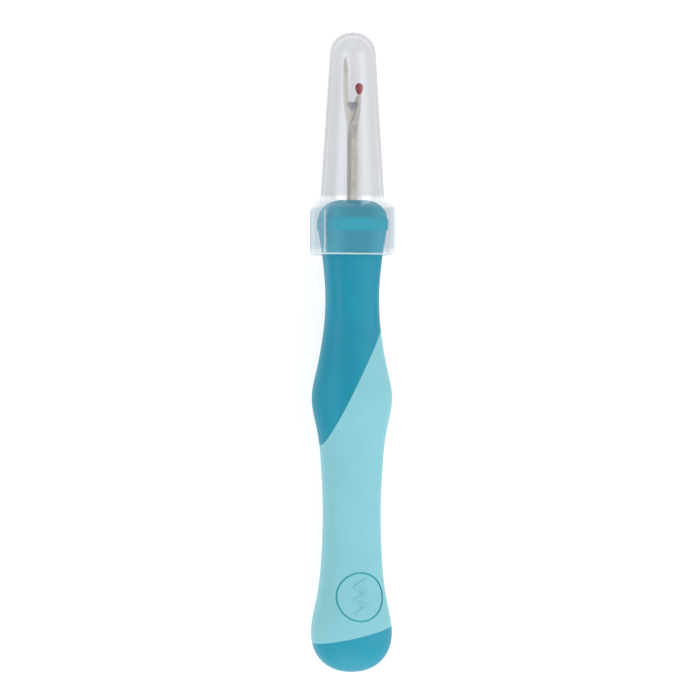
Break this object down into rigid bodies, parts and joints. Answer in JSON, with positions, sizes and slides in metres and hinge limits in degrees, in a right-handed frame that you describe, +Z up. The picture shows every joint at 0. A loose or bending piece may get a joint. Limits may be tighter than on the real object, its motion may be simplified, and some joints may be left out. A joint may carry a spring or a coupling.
{
  "type": "seam ripper",
  "caption": "Capped hand seam ripper: forked steel blade with a ball-tipped short prong, ergonomic two-tone handle with a soft grip, clear slide-off cover.",
  "frame": {"origin": "centre of the capped tool's footprint on the table it lies on", "axes": "+X from the handle's butt to the blade's point and the top of the cover, +Z up out of the front face with the badge, +Y to the side of the long prong"},
  "size_m": [0.1503, 0.019, 0.014],
  "materials": {
    "hard_teal_plastic": "satin",
    "soft_aqua_grip": "matte",
    "plated_steel": "satin",
    "red_plastic": "gloss",
    "clear_plastic": "clear gloss"
  },
  "bodies": {
    "handle": {"handle_core": "hard_teal_plastic", "soft_grip": "soft_aqua_grip", "blade": "plated_steel", "ball_tip": "red_plastic"},
    "cap": {"cap": "clear_plastic"}
  },
  "joints": [
    {"name": "cap_slide", "type": "slide", "parent": "handle", "child": "cap", "axis": [1, 0, 0], "range_m": [0, 0.056]}
  ]
}
